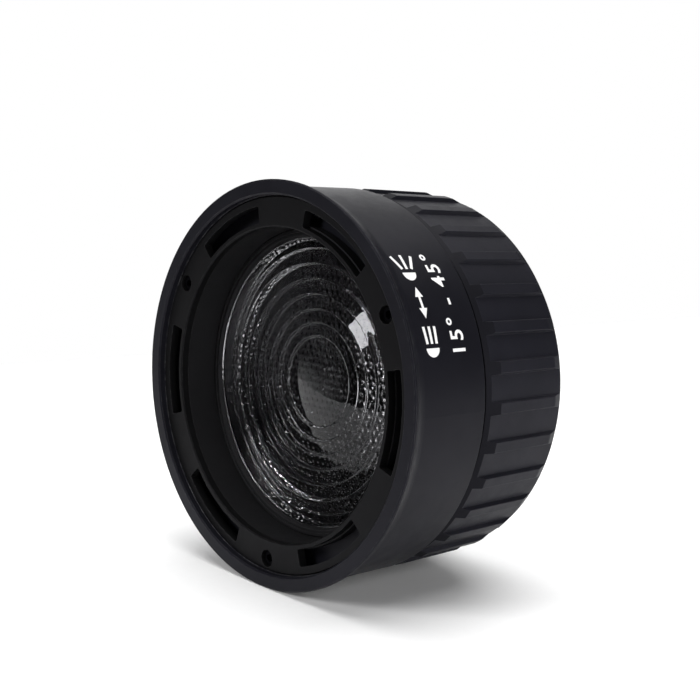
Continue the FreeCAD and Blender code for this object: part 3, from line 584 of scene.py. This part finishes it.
def numeral_solid():
    """Numerals as a solid of any height, set in Blender's own plain font."""
    curve = bpy.data.curves.new("numerals", "FONT")
    curve.body = NUMERALS
    curve.size = NUMERAL_SIZE
    curve.offset = NUMERAL_BOLD
    curve.space_character = NUMERAL_SPACING
    curve.align_x = "CENTER"
    curve.align_y = "CENTER"
    curve.extrude = 0.5
    curve.resolution_u = NUMERAL_CURVE_STEPS
    holder = bpy.data.objects.new("numerals", curve)
    bpy.context.scene.collection.objects.link(holder)
    bpy.context.view_layer.update()
    mesh = bpy.data.meshes.new_from_object(holder.evaluated_get(bpy.context.evaluated_depsgraph_get()))
    bpy.data.objects.remove(holder)
    work = bmesh.new()
    work.from_mesh(mesh)
    bmesh.ops.remove_doubles(work, verts=work.verts, dist=TINY)
    bpy.data.meshes.remove(mesh)
    return work


def print_on_barrel(name, work, depth):
    """Wraps a flat solid round the barrel; its top faces the front of the part."""
    reach = max(abs(v.co.x) for v in work.verts)
    for cut in np.arange(-reach + WRAP_STEP, reach, WRAP_STEP):
        parts = work.verts[:] + work.edges[:] + work.faces[:]
        bmesh.ops.bisect_plane(work, geom=parts, plane_co=(cut, 0, 0), plane_no=(1, 0, 0))
    bmesh.ops.dissolve_degenerate(work, dist=TINY, edges=work.edges[:])
    middle = sum(v.co.z for v in work.verts) / len(work.verts)
    for v in work.verts:
        angle = MARK_ANGLE + v.co.x / BARREL_RADIUS
        radius = BARREL_RADIUS + (INK_PROUD if v.co.z > middle else -INK_UNDER)
        v.co = (radius * math.cos(angle), FRONT + depth - v.co.y, radius * math.sin(angle))
    mesh = bpy.data.meshes.new(name)
    work.to_mesh(mesh)
    work.free()
    new_piece(name, mesh, "white_print", "barrel")


def make_marks():
    """Narrow beam, double arrow and wide beam in one row, and the range under them."""
    narrow = beam_outlines(-PICTOGRAM_SHIFT - LAMP_BACK, NARROW_SPREAD)
    wide = beam_outlines(PICTOGRAM_SHIFT - LAMP_BACK, WIDE_SPREAD)
    print_on_barrel("beam_pictograms", pictogram_solid(narrow + [arrow_outline()] + wide), PICTOGRAM_DEPTH)
    print_on_barrel("beam_range", numeral_solid(), NUMERAL_DEPTH)


# ---- Stage and light ----
FLOOR_FRONT = -0.24
FLOOR_BACK = 1.5
FLOOR_LEFT = -0.45
FLOOR_RIGHT = 1.5
FLOOR_LEVELS = (0.93, 0.96)
FLOOR_FIBRE_MM = 3.0
WORLD_LIGHT = 0.04
GLOW_LIGHT = 0.95
GLOW_HEIGHTS = (-0.2, -0.02)
GLOW_SIDES = (-0.85, -0.4)
PART_MIDDLE = (0.0, -0.04, 0.0)
LENS_MIDDLE = (0.0, -0.06, 0.0)


def make_floor():
    """Pale paper under the part, as far as the lens should mirror it."""
    n = Finish("floor_paper")
    fibre = n.noise(n.place_mm(), FLOOR_FIBRE_MM, detail=4.0)
    low, high = FLOOR_LEVELS
    n.set(Base_Color=n.mix(fibre, grey(low), grey(high)), Roughness=0.9)
    mesh = bpy.data.meshes.new("floor")
    corners = [
        (FLOOR_LEFT, FLOOR_FRONT, LOWEST), (FLOOR_RIGHT, FLOOR_FRONT, LOWEST),
        (FLOOR_RIGHT, FLOOR_BACK, LOWEST), (FLOOR_LEFT, FLOOR_BACK, LOWEST)
    ]
    mesh.from_pydata(corners, [], [(0, 1, 2, 3)])
    mesh.materials.append(n.material)
    floor = bpy.data.objects.new("floor", mesh)
    bpy.context.scene.collection.objects.link(floor)


def make_world():
    """White behind the part; it lights the part dimly, with a low glow on the left that the lens mirrors."""
    world = bpy.data.worlds.new("studio")
    bpy.context.scene.world = world
    world.use_nodes = True
    n = Nodes(world.node_tree)
    across, _, upward = n.parts(n.add("ShaderNodeTexCoord").outputs["Generated"])
    low = n.spread(upward, GLOW_LIGHT, 0.0, GLOW_HEIGHTS)
    left = n.spread(across, 1.0, 0.0, GLOW_SIDES)
    light = n.math("ADD", n.math("MULTIPLY", low, left), WORLD_LIGHT)
    seen = n.add("ShaderNodeLightPath").outputs["Is Camera Ray"]
    back = world.node_tree.nodes.get("Background")
    back.inputs["Color"].default_value = WHITE
    n.link(n.spread(seen, light, 1.0, FULL_SPAN), back.inputs["Strength"])


def hang_lamp(data, turn, place=(0.0, 0.0, 0.0)):
    """Puts a light in the scene at its place, turned to its target."""
    lamp = bpy.data.objects.new(data.name, data)
    bpy.context.scene.collection.objects.link(lamp)
    lamp.location = place
    lamp.rotation_mode = "QUATERNION"
    lamp.rotation_quaternion = turn


def area_light(name, place, target, width, height, watts, turn_deg=0.0):
    """Rectangular softbox aimed at a point and turned about its own axis."""
    data = bpy.data.lights.new(name, "AREA")
    data.shape = "RECTANGLE"
    data.size = width
    data.size_y = height
    data.energy = watts
    aim = (Vector(target) - Vector(place)).to_track_quat("-Z", "Y")
    hang_lamp(data, aim @ Quaternion((0, 0, 1), math.radians(turn_deg)), place)


def overhead_light(strength, spread_deg, direction):
    """Very large soft source overhead, as a sun as wide as a softbox ceiling."""
    data = bpy.data.lights.new("overhead", "SUN")
    data.energy = strength
    data.angle = math.radians(spread_deg)
    hang_lamp(data, (-Vector(direction)).to_track_quat("-Z", "Y"))


def make_lights():
    overhead_light(strength=3.5, spread_deg=70, direction=(-0.05, 0.14, 1.0))
    area_light("back_softbox", place=(-0.95, 0.9, 0.42), target=PART_MIDDLE, width=0.9, height=0.9, watts=3.2)
    area_light(
        "front_softbox", place=(-0.24, -1.05, 0.4), target=LENS_MIDDLE, width=0.31, height=0.31,
        watts=7.2, turn_deg=45
    )
    area_light("side_fill", place=(1.15, -0.3, 0.25), target=PART_MIDDLE, width=0.7, height=0.9, watts=9.5)


# ---- Camera ----
VIEW_AZIMUTH = 46.957
VIEW_ELEVATION = 7.637
VIEW_ROLL = 2.798
VIEW_DEPTH = 408.34 * MM
VIEW_RIGHT = 26.318 * MM
VIEW_UP = 11.752 * MM
VIEW_LENS_MM = 65.616
SENSOR_MM = 36.0
NEAREST = 10.0 * MM


def make_camera():
    """Camera given by its angles and by its distances from the centre of the front edge's plane."""
    azimuth = math.radians(VIEW_AZIMUTH)
    elevation = math.radians(VIEW_ELEVATION)
    roll = math.radians(VIEW_ROLL)
    back = Vector((
        math.sin(azimuth) * math.cos(elevation), -math.cos(azimuth) * math.cos(elevation), math.sin(elevation)
    ))
    level = Vector((math.cos(azimuth), math.sin(azimuth), 0.0))
    plumb = back.cross(level)
    right = level * math.cos(roll) + plumb * math.sin(roll)
    up = back.cross(right)
    data = bpy.data.cameras.new("camera")
    data.sensor_width = SENSOR_MM
    data.lens = VIEW_LENS_MM
    data.clip_start = NEAREST
    camera = bpy.data.objects.new("camera", data)
    bpy.context.scene.collection.objects.link(camera)
    turn = Matrix((right, up, back)).transposed().to_4x4()
    spot = Vector((0, FRONT, 0)) + back * VIEW_DEPTH + right * VIEW_RIGHT + up * VIEW_UP
    camera.matrix_world = Matrix.Translation(spot) @ turn
    bpy.context.scene.camera = camera


dress_cad_nodes()
make_lens()
make_marks()
make_floor()
make_world()
make_camera()
make_lights()
bpy.context.scene.view_settings.view_transform = "Standard"
